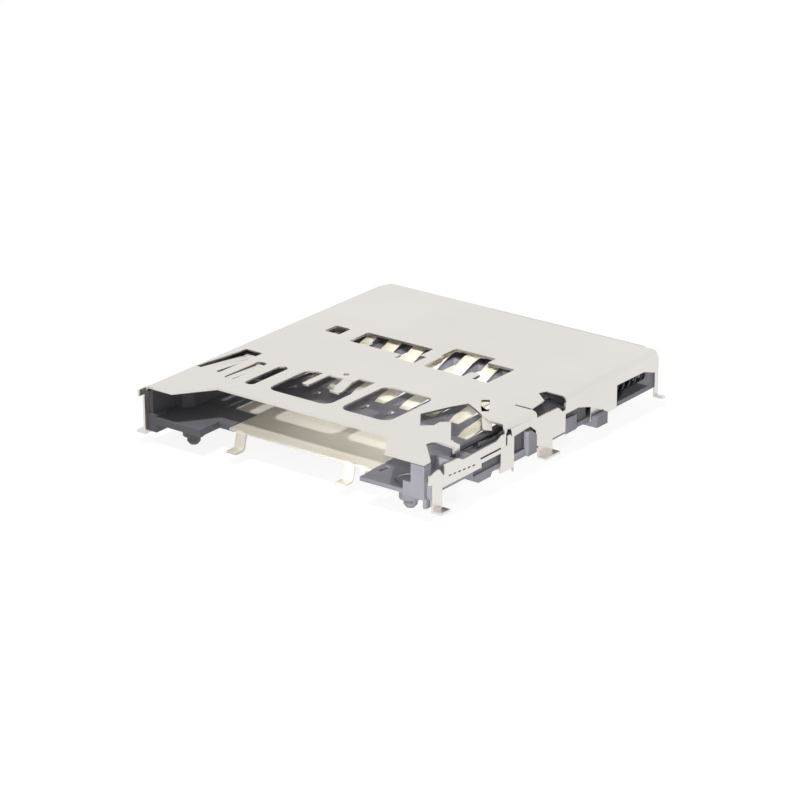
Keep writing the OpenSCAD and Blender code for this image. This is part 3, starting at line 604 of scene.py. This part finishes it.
def switch(name, y):
    """Both blades of the switch whose pocket starts at y."""
    root, end = y - BLADE_ROOT, y + POCKET + BLADE_ROOT
    spring = bend([(SPRING_X, root), *[(x, y + share * POCKET) for share, x in SPRING_SHAPE]],
                  2 * BLADE)
    piece(name + "_spring_strip", [on_edge(spring, BLADE_Z, BLADE_H, BLADE), tail(SPRING_X, root)],
          "base", GOLD, [name + "_spring"])
    straight = np.array([(BLADE_X, y + STRAIGHT_START * POCKET), (BLADE_X, end)])
    piece(name + "_blade_strip",
          [on_edge(straight, BLADE_Z, BLADE_H, BLADE), tail(BLADE_X, end - TAIL_WIDTH)],
          "base", GOLD, [name + "_blade"])


for name, start in POCKETS.items():
    switch(name, start)
print("switches:", ", ".join(POCKETS))

# %% [markdown]
# ## The mechanism
# The lock leaf rides on the slider and clicks into the notch in the card's side. It is a strip on
# edge like the switch blades, with one bump.

# %% Lock leaf
LEAF_Z, LEAF_H = 1.65, 0.8
# places across and back from the front edge; the third one is the bump
LEAF_PATH = [(12.4, 13.0), (12.4, 14.8), (11.65, 16.8), (12.4, 18.375), (12.4, 18.9)]

leaf = bend(LEAF_PATH, 2 * BLADE)
piece("lock_spring_leaf", [on_edge(leaf, LEAF_Z, LEAF_H, BLADE)], "slider", STEEL,
      ["lock_spring"])
print("lock leaf points:", len(leaf))

# %% [markdown]
# The cam pin is a wire with both ends bent down: one turns in the base, and the other follows the
# heart-shaped track in the slider. A ring of points is carried along the wire without twisting.

# %% Cam pin
def wire(path, radius, sides=12):
    """Rows of circles round a path in space, each square to the path at its point.

    The first side vector is square to the direction, and it is carried on from row to row.
    """
    d = directions(path)
    side = np.cross(d[0], (1.0, 0.0, 0.0) if abs(d[0][0]) < 0.9 else (0.0, 1.0, 0.0))
    turn = np.linspace(0, 2 * math.pi, sides, endpoint=False)
    rows = []
    for p, t in zip(path, d):
        side = side - t * (side @ t)
        side /= np.linalg.norm(side)
        other = np.cross(t, side)
        rows.append(p + radius * (np.cos(turn)[:, None] * side + np.sin(turn)[:, None] * other))
    return np.array(rows)


PIN_X, PIN_R, PIN_BEND = 13.025, 0.2, 0.3
PIN_FRONT, PIN_BACK = 4.6 - FRONT, 12.0 - FRONT
RUN_Z, FRONT_END_Z, BACK_END_Z = 3.4, 2.2, 2.65
pin = bend([(PIN_X, PIN_FRONT, FRONT_END_Z), (PIN_X, PIN_FRONT, RUN_Z),
            (PIN_X, PIN_BACK, RUN_Z), (PIN_X, PIN_BACK, BACK_END_Z)], PIN_BEND)
piece("cam_pin_wire", [closed(wire(pin, PIN_R, 20))], "cam_pin", STEEL,
      ["cam_pin"])
print("cam pin points:", len(pin))

# %% [markdown]
# The coil shortens as the slider goes in. Each turn is a circle that moves on along Y, more slowly
# in the first and in the last turn, so that the ends lie flat.

# %% Coil
COIL_Z, COIL_R, COIL_WIRE, TURNS = 2.2, 0.65, 0.1, 11
COIL_START, COIL_END = 21.5 - FRONT, 30.6 - FRONT
RINGS_A_TURN = 28

turns = np.linspace(0, TURNS, TURNS * RINGS_A_TURN + 1)
# after n turns the wire has moved on by n - 1/2 pitches, and by n^2 / 2 within the first turn
rise = np.where(turns < 1, turns ** 2 / 2,
                np.where(turns > TURNS - 1, TURNS - 1 - (TURNS - turns) ** 2 / 2, turns - 0.5))
room = COIL_END - COIL_START - 2 * COIL_WIRE
coil = np.stack([PIN_X + COIL_R * np.cos(2 * math.pi * turns),
                 COIL_START + COIL_WIRE + room * rise / (TURNS - 1),
                 COIL_Z + COIL_R * np.sin(2 * math.pi * turns)], 1)
spring = piece("eject_spring_coil", [closed(wire(coil, COIL_WIRE, 10))], "base",
               STEEL, ["eject_spring"])
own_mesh(spring)
print("coil points:", len(coil))

# %% [markdown]
# ## The studio
# The photograph has a white ground and almost no shadow, as on a light table. Floor and world are
# white to the eye and in reflections, and dimmer as a light, so that the inside of the socket
# stays dark.

# %% Light table
# half the floor's width in metres, and its colour
FLOOR_REACH, FLOOR_TONE = 0.6, "#6c6c6c"
# how brightly it glows as a light, and to the eye
FLOOR_LIGHT, FLOOR_WHITE = 0.3, 0.88
WHITE = (1, 1, 1, 1)


def seen(tree):
    """1 for what the camera sees, straight, mirrored or through glass, and 0 for other light."""
    path = add(tree, "ShaderNodeLightPath")
    ray = path.outputs["Is Camera Ray"]
    for kind in ("Is Glossy Ray", "Is Transmission Ray"):
        ray = add(tree, "ShaderNodeMath", {0: ray, 1: path.outputs[kind]},
                  operation="MAXIMUM").outputs[0]
    return ray


ground = float(cad_box[0][2])
corners = [(x * FLOOR_REACH, y * FLOOR_REACH, ground)
           for x, y in ((-1, -1), (1, -1), (1, 1), (-1, 1))]
floor_mesh = bpy.data.meshes.new("floor")
floor_mesh.from_pydata(corners, [], [(0, 1, 2, 3)])
floor = bpy.data.objects.new("floor", floor_mesh)
bpy.context.collection.objects.link(floor)
floor_mat, tree, shader = material("light_table", Roughness=0.9, Base_Color=linear(FLOOR_TONE),
                                   Emission_Color=WHITE)
tree.links.new(spread(tree, seen(tree), FLOOR_LIGHT, FLOOR_WHITE),
               shader.inputs["Emission Strength"])
floor_mesh.materials.append(floor_mat)
print("floor at", ground)

# %% [markdown]
# The world is a white tent around the socket. Bright metal has no tone of its own, so what it
# mirrors is what it looks like.

# %% World
WORLD_LIGHT = 0.2

world = bpy.data.worlds.new("studio")
bpy.context.scene.world = world
world.use_nodes = True
tree = world.node_tree
tree.nodes.clear()
sky = add(tree, "ShaderNodeBackground", {"Strength": spread(tree, seen(tree), WORLD_LIGHT, 1.0)},
          Color=WHITE)
add(tree, "ShaderNodeOutputWorld", {"Surface": sky.outputs[0]})
print("world light", WORLD_LIGHT)

# %% [markdown]
# A small lamp high above throws crisp patches through the windows. A low soft spot lights the
# corner block, and one beside the camera the contacts in the rear windows. The metal mirrors only
# the white studio: a lamp in it would bleach the cover from some sides.

# %% Lamps
# points that the lamps are turned to, in metres
MIDDLE, CORNER, REAR_WINDOWS = (0, 0.014, 0.002), (0.0135, 0.003, 0.002), (-0.001, 0.0205, 0.003)


def lamp(name, kind, place, aim, power, **settings):
    """A lamp at place, turned to face aim, with its power in watts."""
    data = bpy.data.lights.new(name, kind)
    data.energy = power
    for setting, value in settings.items():
        setattr(data, setting, value)
    obj = bpy.data.objects.new(name, data)
    obj.location = place
    toward = np.array(aim) - np.array(place)
    tilt = math.atan2(math.hypot(toward[0], toward[1]), -toward[2])
    obj.rotation_euler = (tilt, 0, math.atan2(toward[1], toward[0]) - math.pi / 2)
    obj.visible_glossy = False
    bpy.context.collection.objects.link(obj)


lamp("key", "AREA", (-0.03, -0.04, 0.32), MIDDLE, 0.6, size=0.035)
lamp("front", "SPOT", (0.13, -0.25, 0.05), CORNER, 7.4, shadow_soft_size=0.012,
     spot_size=math.radians(6.4), spot_blend=0.8)
lamp("beside_camera", "SPOT", (0.16, -0.19, 0.13), REAR_WINDOWS, 6.8, shadow_soft_size=0.006,
     spot_size=math.radians(3.8), spot_blend=0.5)

# %% [markdown]
# ## The view transform
# The colours are shown as they are written, through the standard view transform.

# %% View transform
bpy.context.scene.view_settings.view_transform = "Standard"
